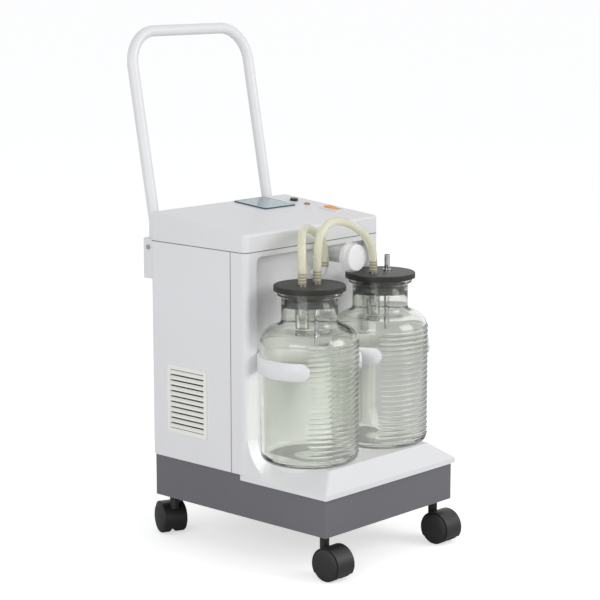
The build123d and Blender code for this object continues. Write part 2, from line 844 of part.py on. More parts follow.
jar_names = {"left": -1, "right": 1}
for name, side in jar_names.items():
    jar_x = side * jar_pitch / 2
    save(jar_blank.part.moved(Location((jar_x, jar_y, platform_z))), f"jar_{name}")
    seat = Location((jar_x, jar_y, jar_lip_z))
    save(stopper_blank.part.moved(seat), f"stopper_{name}")
    # the outlet pipe of each jar is the one nearer the left
    outlet = Location((jar_x - pipe_spread / 2, jar_y, jar_lip_z))
    inlet = Location((jar_x + pipe_spread / 2, jar_y, jar_lip_z))
    inlet_rise = pipe_rise if name == "right" else hosed_pipe_rise
    save(pipe(hosed_pipe_rise, float_pipe_drop).moved(outlet), f"outlet_pipe_{name}")
    save(pipe(inlet_rise, inlet_pipe_drop).moved(inlet), f"inlet_pipe_{name}")
    save(cage_blank.part.moved(outlet), f"float_cage_{name}")
    save(float_blank.part.moved(outlet), f"float_{name}")

# HOSES: routes chosen by hand, straight runs joined by tangent arcs
hose_foot = stopper_top + pipe_collar_height + fit_gap
pipe_a_x = -jar_pitch / 2 - pipe_spread / 2
pipe_b_x = -jar_pitch / 2 + pipe_spread / 2
pipe_c_x = jar_pitch / 2 - pipe_spread / 2
port_y = recess_y - port_reach
port_top = port_z + port_rise

link_route = [
    (pipe_b_x, jar_y, hose_foot),
    (pipe_b_x, jar_y, 437.0),
    (-50.0, jar_y + 1.0, 463.0),
    (-24.0, jar_y + 2.0, 474.0),
    (4.0, jar_y + 2.0, 469.0),
    (29.0, jar_y + 1.0, 456.0),
    (48.0, jar_y + 1.0, 441.0),
    (pipe_c_x, jar_y, 420.0),
    (pipe_c_x, jar_y, hose_foot),
]
pump_route = [
    (pipe_a_x, jar_y, hose_foot),
    (pipe_a_x, jar_y, 431.0),
    (-80.0, jar_y + 10.0, 452.0),
    (-58.0, jar_y + 28.0, 462.0),
    (-33.0, jar_y + 38.0, 461.0),
    (-10.0, jar_y + 44.0, 449.0),
    (port_x, port_y, 434.0),
    (port_x, port_y, port_z + 3.0),
]


def hose(route, name):
    """A hose along a route, each bend as round as its two runs allow."""
    points = [Vector(*place) for place in route]
    radii = []
    for before, here, after in zip(points, points[1:], points[2:]):
        shorter = min((here - before).length, (after - here).length)
        turn = (here - before).get_angle(after - here)
        radii.append(0.45 * shorter / tan(radians(turn / 2)))
    print(name, "bend radii", [round(radius, 1) for radius in radii])
    with BuildPart() as tube:
        with BuildLine() as path:
            FilletPolyline(*points, radius=radii)
        start = path.line @ 0
        with BuildSketch(Plane(origin=start, z_dir=path.line % 0)):
            Circle(hose_radius)
            Circle(hose_bore, mode=Mode.SUBTRACT)
        sweep()
    length = sum(edge.length for edge in path.edges())
    print(name, "length", round(length, 1), "volume / length", round(tube.part.volume / length, 3))
    save(tube.part, name)


hose(link_route, "link_hose")
hose(pump_route, "pump_hose")

# PUMP PORT: chromed elbow on the recess panel
with BuildPart() as pump_port:
    with BuildLine() as elbow:
        FilletPolyline(
            (port_x, recess_y + 2 * wall, port_z - port_bend),
            (port_x, port_y, port_z - port_bend),
            (port_x, port_y, port_top),
            radius=port_bend,
        )
    with BuildSketch(Plane(origin=elbow.line @ 0, z_dir=elbow.line % 0)):
        Circle(port_radius)
        Circle(pipe_bore, mode=Mode.SUBTRACT)
    sweep()
    with BuildSketch(Plane.XZ.offset(-recess_y)):
        with Locations((port_x, port_z - port_bend)):
            Circle(port_flange_radius)
            Circle(pipe_bore, mode=Mode.SUBTRACT)
    extrude(amount=valve_flange)
save(pump_port.part, "pump_port")

# REGULATOR: valve body through the recess panel, knob on its spindle
knob_back = recess_y - knob_reach
with BuildPart() as valve_body:
    with BuildSketch(Plane.XZ.offset(-recess_y - 3 * wall)):
        with Locations((knob_x, knob_z)):
            Circle(valve_radius)
    extrude(amount=knob_reach + 3 * wall - valve_gap)
    with BuildSketch(Plane.XZ.offset(-recess_y)):
        with Locations((knob_x, knob_z)):
            Circle(valve_flange_radius)
    extrude(amount=valve_flange)
    with BuildSketch(Plane.XZ.offset(-knob_back - spindle_length - 1)):
        with Locations((knob_x, knob_z)):
            Circle(spindle_radius + spindle_clearance)
    extrude(amount=spindle_length + 2, mode=Mode.SUBTRACT)
save(valve_body.part, "valve_body")

with BuildPart() as regulator_knob:
    with BuildSketch(Plane.XZ.offset(-knob_back)):
        with Locations((knob_x, knob_z)):
            Circle(knob_radius)
    extrude(amount=knob_depth * 0.4)
    with BuildSketch(Plane.XZ.offset(-knob_back + knob_depth * 0.4)):
        with Locations((knob_x, knob_z)):
            Circle(knob_radius - knob_step)
    extrude(amount=knob_depth * 0.6)
    fillet(regulator_knob.edges().group_by(Axis.Y)[0], knob_step)
    with BuildSketch(Plane.XZ.offset(-knob_back - spindle_length)):
        with Locations((knob_x, knob_z)):
            Circle(spindle_radius)
    extrude(amount=spindle_length)
save(regulator_knob.part, "regulator_knob")

# JAR HOLDERS: sprung arms round each jar, screwed to the recess panel
holder_z = platform_z + holder_level
holder_inner = jar_radius + holder_gap
holder_mid = holder_inner + holder_wall / 2
for name, side in jar_names.items():
    jar_x = side * jar_pitch / 2
    with BuildPart() as jar_holder:
        with BuildSketch(Plane.XY.offset(holder_z - holder_height / 2)):
            with Locations((jar_x, jar_y)):
                Circle(holder_inner + holder_wall)
                Circle(holder_inner, mode=Mode.SUBTRACT)
            cut = holder_inner + holder_wall
            with Locations((jar_x, jar_y - cut - holder_inner * sin(radians(holder_tip_angle)))):
                Rectangle(4 * cut, 2 * cut, mode=Mode.SUBTRACT)
            with Locations((jar_x, recess_y + cut)):
                Rectangle(4 * cut, 2 * cut, mode=Mode.SUBTRACT)
        extrude(amount=holder_height)
    save(jar_holder.part, f"jar_holder_{name}")

# HANDLE: bent tube, upright in its brackets and leaning back above them
top_y = handle_y + handle_reach
with BuildPart() as handle_tube_part:
    with BuildLine() as bend:
        FilletPolyline(
            (-handle_half_span, handle_y, handle_foot),
            (-handle_half_span, handle_y, handle_bend),
            (-handle_half_span, top_y, handle_top),
            (handle_half_span, top_y, handle_top),
            (handle_half_span, handle_y, handle_bend),
            (handle_half_span, handle_y, handle_foot),
            radius=[handle_corner, handle_corner, handle_corner, handle_corner],
        )
    with BuildSketch(Plane(origin=bend.line @ 0, z_dir=bend.line % 0)):
        Circle(handle_tube)
        Circle(handle_bore, mode=Mode.SUBTRACT)
    sweep()
save(handle_tube_part.part, "handle")

with BuildPart() as handle_brackets:
    for side in (-1, 1):
        with BuildSketch(Plane.XY.offset(bracket_foot)) as bracket_outline:
            with Locations((side * handle_half_span, rear_y + bracket_depth / 2)):
                Rectangle(bracket_width, bracket_depth)
            fillet(bracket_outline.vertices().group_by(Axis.Y)[-1], bracket_corner)
        extrude(amount=bracket_height)
        with BuildSketch(Plane.XY.offset(handle_foot - bracket_gap)):
            with Locations((side * handle_half_span, handle_y)):
                Circle(handle_tube + bracket_gap)
        extrude(amount=bracket_height, mode=Mode.SUBTRACT)
save(handle_brackets.part, "handle_brackets")

with BuildPart() as bracket_screws:
    for side in (-1, 1):
        x = side * (handle_half_span + bracket_width / 2)
        with BuildSketch(Plane.YZ.offset(x)):
            with Locations((rear_y + bracket_depth / 2, bracket_foot + bracket_height - 12)):
                Circle(screw_radius)
        extrude(amount=side * screw_head)
save(bracket_screws.part, "bracket_screws")

# PUMP SET: motor with a pump head at each end on a plate and rubber mounts
pump_y = rear_y - pump_y_margin
plate_z = base_top + mount_height
axis_z = plate_z + plate_thickness + motor_radius
with BuildPart() as rubber_mounts:
    with BuildSketch(Plane.XY.offset(base_top)):
        with Locations((pump_x, pump_y)):
            with GridLocations(mount_pitch_x, mount_pitch_y, 2, 2):
                Circle(mount_radius)
    extrude(amount=mount_height)
save(rubber_mounts.part, "rubber_mounts")

with BuildPart() as pump_plate:
    with BuildSketch(Plane.XY.offset(plate_z)):
        with Locations((pump_x, pump_y)):
            Rectangle(plate_length, plate_width)
    extrude(amount=plate_thickness)
save(pump_plate.part, "pump_plate")

with BuildPart() as pump_motor:
    with BuildSketch(Plane.YZ.offset(pump_x - motor_length / 2)):
        with Locations((pump_y, axis_z)):
            Circle(motor_radius)
            Circle(shaft_radius + shaft_clearance, mode=Mode.SUBTRACT)
    extrude(amount=motor_length)
save(pump_motor.part, "pump_motor")

for name, side in jar_names.items():
    with BuildPart() as pump_head:
        face_x = pump_x + side * motor_length / 2
        with BuildSketch(Plane.YZ.offset(face_x)):
            with Locations((pump_y, plate_z + plate_thickness + head_height / 2)):
                RectangleRounded(head_width, head_height, 6)
            with Locations((pump_y, axis_z)):
                Circle(shaft_radius + shaft_clearance, mode=Mode.SUBTRACT)
        extrude(amount=side * head_length)
    save(pump_head.part, f"pump_head_{name}")

shaft_end = motor_length / 2 + head_length + shaft_overhang
with BuildPart() as motor_fan:
    with BuildSketch(Plane.YZ.offset(pump_x - shaft_end)):
        with Locations((pump_y, axis_z)):
            Circle(shaft_radius)
    extrude(amount=shaft_end + motor_length / 2 + head_length)
    fan_x = pump_x - shaft_end + 4
    with BuildSketch(Plane.YZ.offset(fan_x)):
        with Locations((pump_y, axis_z)):
            Circle(fan_hub)
    extrude(amount=fan_width)
    for blade in range(fan_blades):
        angle = 360 * blade / fan_blades
        out = (0, cos(radians(angle)), sin(radians(angle)))
        middle = (fan_x + fan_width / 2, pump_y, axis_z)
        pitch = radians(fan_pitch_angle)
        along = (cos(pitch), -sin(pitch) * out[2], sin(pitch) * out[1])
        blade_plane = Plane(origin=middle, x_dir=along, z_dir=out)
        with BuildSketch(blade_plane.offset(fan_hub - 1)):
            Rectangle(fan_width * 1.1, fan_blade)
        extrude(amount=fan_radius - fan_hub)
save(motor_fan.part, "motor_fan")

# MAINS INLET: three-pin socket in the rear wall
with BuildPart() as mains_inlet:
    with BuildSketch(Plane.XZ.offset(-rear_y)):
        with Locations((0, inlet_level)):
            RectangleRounded(inlet_width + 2 * inlet_rim, inlet_height + 2 * inlet_rim, 3)
    extrude(amount=-inlet_wall)
    with BuildSketch(Plane.XZ.offset(-rear_y)):
        with Locations((0, inlet_level)):
            Rectangle(inlet_width, inlet_height)
    extrude(amount=inlet_depth)
    with BuildSketch(Plane.XZ.offset(-rear_y - inlet_wall)):
        with Locations((0, inlet_level)):
            Rectangle(inlet_width - 2 * inlet_wall, inlet_height - 2 * inlet_wall)
    extrude(amount=inlet_depth, mode=Mode.SUBTRACT)
save(mains_inlet.part, "mains_inlet")

with BuildPart() as inlet_pins:
    with BuildSketch(Plane.XZ.offset(-rear_y + inlet_depth - inlet_wall)):
        with Locations((-7, inlet_level - 2), (7, inlet_level - 2), (0, inlet_level + 2)):
            Rectangle(2, 4)
    extrude(amount=-pin_length)
save(inlet_pins.part, "inlet_pins")
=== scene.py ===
import bpy
import bmesh
from math import cos, pi, radians, sin, tan
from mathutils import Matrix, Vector


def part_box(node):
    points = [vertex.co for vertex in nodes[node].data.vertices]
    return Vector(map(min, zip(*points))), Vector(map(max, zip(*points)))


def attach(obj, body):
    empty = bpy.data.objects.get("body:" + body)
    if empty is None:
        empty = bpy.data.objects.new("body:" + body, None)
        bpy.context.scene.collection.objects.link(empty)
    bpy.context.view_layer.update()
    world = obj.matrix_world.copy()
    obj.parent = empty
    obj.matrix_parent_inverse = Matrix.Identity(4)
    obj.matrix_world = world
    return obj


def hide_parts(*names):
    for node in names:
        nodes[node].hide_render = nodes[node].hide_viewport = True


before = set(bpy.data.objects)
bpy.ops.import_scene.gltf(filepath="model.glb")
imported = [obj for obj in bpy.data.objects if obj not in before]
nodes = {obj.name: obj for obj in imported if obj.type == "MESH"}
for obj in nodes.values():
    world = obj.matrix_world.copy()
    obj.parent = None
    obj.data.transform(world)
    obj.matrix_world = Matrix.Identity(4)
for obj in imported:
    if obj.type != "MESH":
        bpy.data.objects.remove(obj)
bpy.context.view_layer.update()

# Base tray: folded sheet steel with a folded seam at each corner, powder coated.
# It carries the cabinet and the jars, and stands on four castors.


def srgb(code):
    """A hex colour as linear values."""
    parts = [int(code[i:i + 2], 16) / 255 for i in (0, 2, 4)]
    return [p / 12.92 if p <= 0.04045 else ((p + 0.055) / 1.055) ** 2.4 for p in parts] + [1.0]


def add(finish, kind, links=None, **settings):
    """Add a node to a material or world, with its settings and the sockets that feed it."""
    made = finish.node_tree.nodes.new(kind)
    for name, value in settings.items():
        setattr(made, name, value)
    for socket, value in (links or {}).items():
        if isinstance(value, bpy.types.NodeSocket):
            finish.node_tree.links.new(value, made.inputs[socket])
        else:
            made.inputs[socket].default_value = value
    return made


def new_finish(name, colour, roughness, **sockets):
    """A material with one main shader, its plain values set on the shader itself."""
    finish = bpy.data.materials.new(name)
    finish.use_nodes = True
    shader = finish.node_tree.nodes["Principled BSDF"]
    shader.inputs["Base Color"].default_value = srgb(colour)
    shader.inputs["Roughness"].default_value = roughness
    for socket, value in sockets.items():
        shader.inputs[socket.replace("_", " ")].default_value = value
    return finish, shader


def grain(finish, shader, size_mm, depth_mm, shade=0.0):
    """Surface grain of a real size, as bump, with an optional slow change of shade."""
    patches_per_metre = 9.0
    place = add(finish, "ShaderNodeTexCoord").outputs["Object"]
    noise = add(finish, "ShaderNodeTexNoise", {"Vector": place, "Scale": 1000 / size_mm, "Detail": 3.0})
    bump = add(finish, "ShaderNodeBump", {
        "Height": noise.outputs["Fac"], "Distance": depth_mm / 1000, "Strength": 0.6})
    finish.node_tree.links.new(bump.outputs["Normal"], shader.inputs["Normal"])
    if shade:
        base = list(shader.inputs["Base Color"].default_value)
        broad = add(finish, "ShaderNodeTexNoise", {
            "Vector": place, "Scale": patches_per_metre, "Detail": 2.0})
        ramp = add(finish, "ShaderNodeValToRGB", {"Fac": broad.outputs["Fac"]})
        darkest, lightest = ramp.color_ramp.elements
        darkest.position = 0.3
        lightest.position = 0.7
        darkest.color = [c * (1 - shade) for c in base[:3]] + [1.0]
        lightest.color = [min(1.0, c * (1 + shade)) for c in base[:3]] + [1.0]
        finish.node_tree.links.new(ramp.outputs["Color"], shader.inputs["Base Color"])
    return finish


def dress(finish, *names):
    """Give a finish to pieces that keep their own shape."""
    for name in names:
        for slot in nodes[name].material_slots:
            slot.material = finish


# mid grey and even, with a fine pimple that dulls the light
grey_powder, shader = new_finish("grey_powder_coat", "6A6A6F", roughness=0.5)
dress(grain(grey_powder, shader, size_mm=1.2, depth_mm=0.05, shade=0.03), "base_chassis")

# Corner posts, deck, pump plate, inlet pins and screws: bent or turned steel.
# They are zinc plated, and most are riveted inside the tray and the cabinet.
# the plating gives a dull grey metal with a cloudy grain
zinc, shader = new_finish("zinc_plate", "B8B8B4", roughness=0.42, Metallic=1.0)
dress(grain(zinc, shader, size_mm=2.0, depth_mm=0.02, shade=0.06),
      "castor_sockets", "deck_plate", "pump_plate", "inlet_pins", "bracket_screws")

# Castors: black nylon hoods, each moulded in one with its neck, over twin wheels.
# The stem is pushed up into a socket at a corner of the tray.
corners = ("front_left", "front_right", "rear_left", "rear_right")
# the hood is satin black, with a soft light on its barrel
nylon, shader = new_finish("black_nylon", "18181A", roughness=0.42)
dress(grain(nylon, shader, size_mm=0.8, depth_mm=0.03), *[f"castor_hood_{corner}" for corner in corners])
# the tread is duller and a little greyer from the floor
tread, shader = new_finish("castor_tread", "1C1C1D", roughness=0.6)
dress(grain(tread, shader, size_mm=0.6, depth_mm=0.05, shade=0.1),
      *[f"castor_wheel_{corner}_{half}" for corner in corners for half in "ab"])

# Cabinet shell: one sheet of steel folded round the back and sides, stoved white.
# Its front flanges lie behind the front moulding.
# the enamel is smooth, with a faint orange peel in the reflections
enamel, shader = new_finish("white_enamel", "E9E9EB", roughness=0.34)
dress(grain(enamel, shader, size_mm=2.5, depth_mm=0.02, shade=0.008), "cabinet_shell")

# Vent grille: a moulded ABS frame with sloping louvres, pressed into the left side.
# It lets the fan's air out of the cabinet.
# a little warmer and duller than the enamel round it
vent_abs, shader = new_finish("vent_abs", "F2F2EC", roughness=0.5)
dress(grain(vent_abs, shader, size_mm=0.7, depth_mm=0.03), "vent_grille")

# Front moulding and top cover: vacuum formed ABS, white.
# The moulding is the jar tray and the fascia in one; the cover sits on the cabinet.
# forming leaves a soft sheen with hardly any grain
white_abs, shader = new_finish("white_abs", "E7E7E8", roughness=0.38)
dress(grain(white_abs, shader, size_mm=1.0, depth_mm=0.02, shade=0.006), "front_moulding", "top_cover")

# Seams: a thin dark strip where the cover sits on the cabinet, and where the
# front moulding meets the folded shell. It is painted shadow: a fine dark line for the shade in the gap.
shell_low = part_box("cabinet_shell")[0]
cover_low, cover_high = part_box("top_cover")
seam_half, seam_proud, seam_sunk = 0.0006, 0.00012, 0.0004
front_bend, rear_bend = 0.009, 0.005
corner_steps, corner_step = 6, 15
# the painted shadow line is a dusty grey with no shine
seam_shadow_strip, shader = new_finish("seam_shadow_strip", "77777B", roughness=0.7)
grain(seam_shadow_strip, shader, size_mm=1.0, depth_mm=0.02, shade=0.1)


def settle(build, name, finish, smooth=False):
    """Turn a finished build mesh into a named object with its material."""
    bmesh.ops.recalc_face_normals(build, faces=build.faces)
    mesh = bpy.data.meshes.new(name)
    build.to_mesh(mesh)
    build.free()
    for face in mesh.polygons:
        face.use_smooth = smooth
    mesh.materials.append(finish)
    piece = bpy.data.objects.new(name, mesh)
    bpy.context.scene.collection.objects.link(piece)
    return piece


def strip(name, outline, low, high):
    """A thin closed band of the given (x, y) outline between two heights."""
    build = bmesh.new()
    middle = Vector(((cover_low.x + cover_high.x) / 2, (cover_low.y + cover_high.y) / 2))
    rings = []
    for level in (low, high):
        for depth in (0.0, seam_sunk + seam_proud):
            ring = []
            for x, y in outline:
                way = (middle - Vector((x, y))).normalized()
                ring.append(build.verts.new((x + way.x * depth, y + way.y * depth, level)))
            rings.append(ring)
    count = len(outline)
    for first, second in ((0, 1), (1, 3), (3, 2), (2, 0)):
        for step in range(count):
            after = (step + 1) % count
            build.faces.new((rings[first][step], rings[first][after],
                             rings[second][after], rings[second][step]))
    # each band takes the dark painted shadow finish of the seam
    piece = settle(build, name, seam_shadow_strip)
    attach(piece, "cabinet")


def round_corner(centre_x, centre_y, bend, start):
    """Points on a quarter turn round a corner, from a start angle in degrees."""
    angles = [radians(start + corner_step * step) for step in range(corner_steps + 1)]
    return [(centre_x + bend * cos(angle), centre_y + bend * sin(angle)) for angle in angles]


east, west = cover_high.x + seam_proud, cover_low.x - seam_proud
north, south = cover_high.y + seam_proud, cover_low.y - seam_proud
strip("cover_seam",
      round_corner(east - rear_bend, north - rear_bend, rear_bend, 0)
      + round_corner(west + rear_bend, north - rear_bend, rear_bend, 90)
      + round_corner(west + front_bend, south + front_bend, front_bend, 180)
      + round_corner(east - front_bend, south + front_bend, front_bend, 270),
      cover_low.z - seam_half, cover_low.z + seam_half)
for side, edge, inward in (("left", west, 1), ("right", east, -1)):
    sunk = edge + inward * seam_sunk
    strip(f"shell_seam_{side}",
          [(edge, shell_low.y - seam_half), (edge, shell_low.y + seam_half),
           (sunk, shell_low.y + seam_half), (sunk, shell_low.y - seam_half)],
          shell_low.z, cover_low.z)

# Gauge: a square moulded case let into the panel, under a blue tinted window.
# A pale printed dial lies below the needle, which turns on a pivot at its middle.
upward = 0.9
# the case is glossy dark teal at its edges, with a paler painted sky reflection on its upward faces
case_teal, shader = new_finish("case_teal", "2E4E58", roughness=0.25)
facing = add(case_teal, "ShaderNodeSeparateXYZ",
             {"Vector": add(case_teal, "ShaderNodeNewGeometry").outputs["Normal"]})
on_top = add(case_teal, "ShaderNodeMath", {0: facing.outputs["Z"], 1: upward}, operation="GREATER_THAN")
# painted sky reflection: the upward faces take the paler blue
painted_top_sheen = add(case_teal, "ShaderNodeMix", {
    0: on_top.outputs[0], 6: srgb("2E4E58"), 7: srgb("9DB4BC")}, data_type="RGBA")
case_teal.node_tree.links.new(painted_top_sheen.outputs[2], shader.inputs["Base Color"])
dress(grain(case_teal, shader, size_mm=0.8, depth_mm=0.02), "gauge_case")
# the dial is matt and very pale blue
dial_pale, shader = new_finish("dial_pale", "DCE9EC", roughness=0.5)
dress(grain(dial_pale, shader, size_mm=0.8, depth_mm=0.01), "gauge_dial")
# the needle and the ink are satin black
needle_black, shader = new_finish("needle_black", "1C1C1E", roughness=0.4)
dress(grain(needle_black, shader, size_mm=0.8, depth_mm=0.01), "gauge_needle")
# the acrylic window is clear blue, and mirrors the sky at a low angle
window_blue, shader = new_finish("window_blue", "CFE4EB", roughness=0.06, IOR=1.49,
                                 Transmission_Weight=0.75)
dress(grain(window_blue, shader, size_mm=12.0, depth_mm=0.004), "gauge_window")

# eleven strokes over the needle's quarter turn, longer at the ends and the middle
dial_thickness, ink = 0.008, 0.00012
stroke_outer, stroke_length, stroke_half, long_stroke = 0.0240, 0.0035, 0.0004, 1.6
stroke_count, scale_start, stroke_turn = 11, 135, 9
# the largest upper face of the dial gives its slope
dial = nodes["gauge_dial"]
dial_low, dial_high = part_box("gauge_dial")
upright = max((face for face in dial.data.polygons if face.normal.z > 0.5), key=lambda face: face.area)
across = Vector((1, 0, 0))
out_of_dial = (dial.matrix_world.to_3x3() @ upright.normal).normalized()
up_slope = out_of_dial.cross(across)
dial_middle = (dial_low + dial_high) / 2 + out_of_dial * dial_thickness / 2
build = bmesh.new()
for stroke in range(stroke_count):
    angle = radians(scale_start - stroke_turn * stroke)
    along = across * cos(angle) + up_slope * sin(angle)
    aside = up_slope * cos(angle) - across * sin(angle)
    stroke_inner = stroke_outer - stroke_length * (long_stroke if stroke % 5 == 0 else 1.0)
    corner_points = [build.verts.new(dial_middle + along * reach + aside * edge + out_of_dial * rise)
                     for rise in (-ink, ink)
                     for reach, edge in ((stroke_inner, -stroke_half), (stroke_outer, -stroke_half),
                                         (stroke_outer, stroke_half), (stroke_inner, stroke_half))]
    for face in ((3, 2, 1, 0), (4, 5, 6, 7), (0, 1, 5, 4), (1, 2, 6, 5), (2, 3, 7, 6), (3, 0, 4, 7)):
        build.faces.new([corner_points[corner] for corner in face])
scale = settle(build, "gauge_scale", needle_black)
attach(scale, "cabinet")

# Fuse holder, indicator lamp and rocker switch, pushed into holes in the panel.
# The mains inlet in the rear wall has the same black moulding as the fuse holder.
# phenolic is near black, with a fairly sharp shine
phenolic, shader = new_finish("black_phenolic", "1D1E22", roughness=0.3)
dress(grain(phenolic, shader, size_mm=0.8, depth_mm=0.02), "fuse_holder", "mains_inlet")
dress(white_abs, "switch_frame")
# the lens is a dull red, unlit, with a glossy dome
lens_red, shader = new_finish("lens_red", "A8705C", roughness=0.2)
dress(grain(lens_red, shader, size_mm=0.8, depth_mm=0.02), "indicator_lamp")
# the rocker is a strong orange with a satin face
rocker_orange, shader = new_finish("rocker_orange", "F09A2C", roughness=0.4)
dress(grain(rocker_orange, shader, size_mm=0.8, depth_mm=0.02), "power_rocker")

# Push handle: bent steel tube in the same stoved enamel as the cabinet.
# Its feet stand in two moulded brackets, screwed behind the cabinet.
dress(enamel, "handle")
dress(white_abs, "handle_brackets")

# Jars: blown soda glass with a rounded shoulder, a lipped neck and cast ribs.
# The ribs mark the level on the front of the wall. Each jar stands on the tray.
segments = 144
jar_radius, jar_wall, jar_height = 0.068, 0.0035, 0.2375
jar_heel, jar_floor, floor_radius = 0.010, 0.006, 0.020
floor_dimple, floor_swell = 0.0012, 0.001
neck_outer, neck_bore, neck_round = 0.0395, 0.0363, 0.008
shoulder_height, shoulder_rise, shoulder_round = 0.182, 0.010, 0.024
lip_radius, lip_height, lip_slope = 0.045, 0.009, 0.7
lip_rounds, mouth_depth, bore_start = [0.0015, 0.002, 0.0012], 0.010, 0.004
rib_count, rib_pitch, rib_first, rib_points = 22, 0.0074, 0.011, 7
rib_height, rib_proud, rib_half_angle, rib_fade = 0.0026, 0.0009, radians(50), radians(3)


def lathe(name, outline, finish, ribbed):
    """Turn an outline of (radius, height) about Z; ribbed moves the wall out near the front."""
    build = bmesh.new()
    rings = []
    for index, (radius, height) in enumerate(outline):
        if radius == 0:
            rings.append([build.verts.new((0, 0, height))])
            continue
        ring = []
        for step in range(segments):
            angle = 2 * pi * step / segments
            out = radius + ribbed(index, angle)
            ring.append(build.verts.new((out * sin(angle), -out * cos(angle), height)))
        rings.append(ring)
    for lower, upper in zip(rings, rings[1:]):
        for step in range(segments):
            after = (step + 1) % segments
            if len(lower) == 1:
                build.faces.new((lower[0], upper[after], upper[step]))
            elif len(upper) == 1:
                build.faces.new((lower[step], lower[after], upper[0]))
            else:
                build.faces.new((lower[step], lower[after], upper[after], upper[step]))
    return settle(build, name, finish, smooth=True)


def rounded(corners, radii, steps):
    """A (radius, height) line with its inner corners rounded."""
    line = [corners[0]]
    for before, corner, after, bend in zip(corners, corners[1:], corners[2:], radii):
        here = Vector(corner)
        back = (Vector(before) - here).normalized()
        ahead = (Vector(after) - here).normalized()
        half = back.angle(ahead) / 2
        centre = here + (back + ahead).normalized() * (bend / sin(half))
        first = here + back * (bend / tan(half)) - centre
        last = here + ahead * (bend / tan(half)) - centre
        for step in range(steps + 1):
            spoke = first.lerp(last, step / steps).normalized() * bend
            line.append(tuple(centre + spoke))
    line.append(corners[-1])
    return line


body = rounded(
    [(floor_radius, 0.0), (jar_radius, 0.0), (jar_radius, shoulder_height),
     (neck_outer, shoulder_height + shoulder_rise), (neck_outer, jar_height - lip_height)],
    [jar_heel, shoulder_round, neck_round], 12)
# the wall between the heel and the shoulder gets seven points to each rib
heel_end = next(i for i, (out, up) in enumerate(body) if up > jar_heel - 1e-6)
rib_share = {}
outside = [(0, floor_dimple)] + body[:heel_end + 1]
for rib in range(rib_count):
    foot = rib_first + rib * rib_pitch
    for step in range(rib_points):
        rib_share[len(outside)] = sin(pi * step / (rib_points - 1)) ** 2
        outside.append((jar_radius, foot + rib_height * step / (rib_points - 1)))
rib_top = outside[-1][1]
outside += [(out, up) for out, up in body[heel_end + 1:] if up > rib_top]
outside += rounded(
    [(neck_outer, jar_height - lip_height), (lip_radius, jar_height - lip_slope * lip_height),
     (lip_radius, jar_height), (neck_bore, jar_height), (neck_bore, jar_height - mouth_depth)],
    lip_rounds, 5)[1:-1]
inside = rounded(
    [(neck_bore, jar_height - bore_start), (neck_bore, shoulder_height + shoulder_rise - jar_wall),
     (jar_radius - jar_wall, shoulder_height - jar_wall), (jar_radius - jar_wall, jar_floor),
     (floor_radius, jar_floor)],
    [neck_round + jar_wall, shoulder_round - jar_wall, jar_heel - jar_wall], 12)
inside.append((0, jar_floor + floor_swell))


def rib_shape(index, angle):
    """How far the wall stands out at a rib, faded at the rib's two ends."""
    share = rib_share.get(index, 0.0)
    turn = abs((angle + pi) % (2 * pi) - pi)
    fade = min(1.0, max(0.0, (rib_half_angle - turn) / rib_fade))
    return share * rib_proud * fade


# the glass is clear with a trace of green, and goes dark only at its edges
soda_glass, shader = new_finish("soda_glass", "F4F6F1", roughness=0.01, IOR=1.5, Transmission_Weight=1.0)
grain(soda_glass, shader, size_mm=30.0, depth_mm=0.02)
for side in ("left", "right"):
    low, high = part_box(f"jar_{side}")
    stopper_low, stopper_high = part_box(f"stopper_{side}")
    jar = lathe(f"glass_jar_{side}", outside + inside, soda_glass, rib_shape)
    jar.location = ((stopper_low.x + stopper_high.x) / 2, (stopper_low.y + stopper_high.y) / 2, low.z)
    jar.visible_shadow = False
    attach(jar, "cabinet")
    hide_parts(f"jar_{side}")

# Stoppers: moulded black rubber, each with a tapered plug pressed into the jar's neck.
# The pump's mounts are the same rubber, bonded under the pump plate.
# warm black and nearly matt, with a patchy bloom from handling
rubber, shader = new_finish("black_rubber", "1A1912", roughness=0.46)
dress(grain(rubber, shader, size_mm=1.0, depth_mm=0.04, shade=0.12),
      "stopper_left", "stopper_right", "rubber_mounts")

# Suction pipes: drawn brass tube, chrome plated, pushed through the stoppers.
# The pump port beside them is a moulded white elbow on the recess panel.
# chrome mirrors its surroundings, with faint draw marks
chrome, shader = new_finish("polished_chrome", "CFCFCF", roughness=0.08, Metallic=1.0)
dress(grain(chrome, shader, size_mm=6.0, depth_mm=0.004),
      "outlet_pipe_left", "outlet_pipe_right", "inlet_pipe_left", "inlet_pipe_right")
dress(white_abs, "pump_port")

# Float valves: a slotted clear cage under each outlet pipe, with a light float in it.
# The float rises with the liquid and shuts the pipe.
# polycarbonate is clear and glossy, a little grey
cage_clear, shader = new_finish("cage_polycarbonate", "D8DAD6", roughness=0.12, IOR=1.58,
                                Transmission_Weight=0.85)
dress(grain(cage_clear, shader, size_mm=2.0, depth_mm=0.01), "float_cage_left", "float_cage_right")
# polythene is off-white and waxy
float_white, shader = new_finish("float_polythene", "E6E6DE", roughness=0.45)
dress(grain(float_white, shader, size_mm=1.0, depth_mm=0.02), "float_left", "float_right")

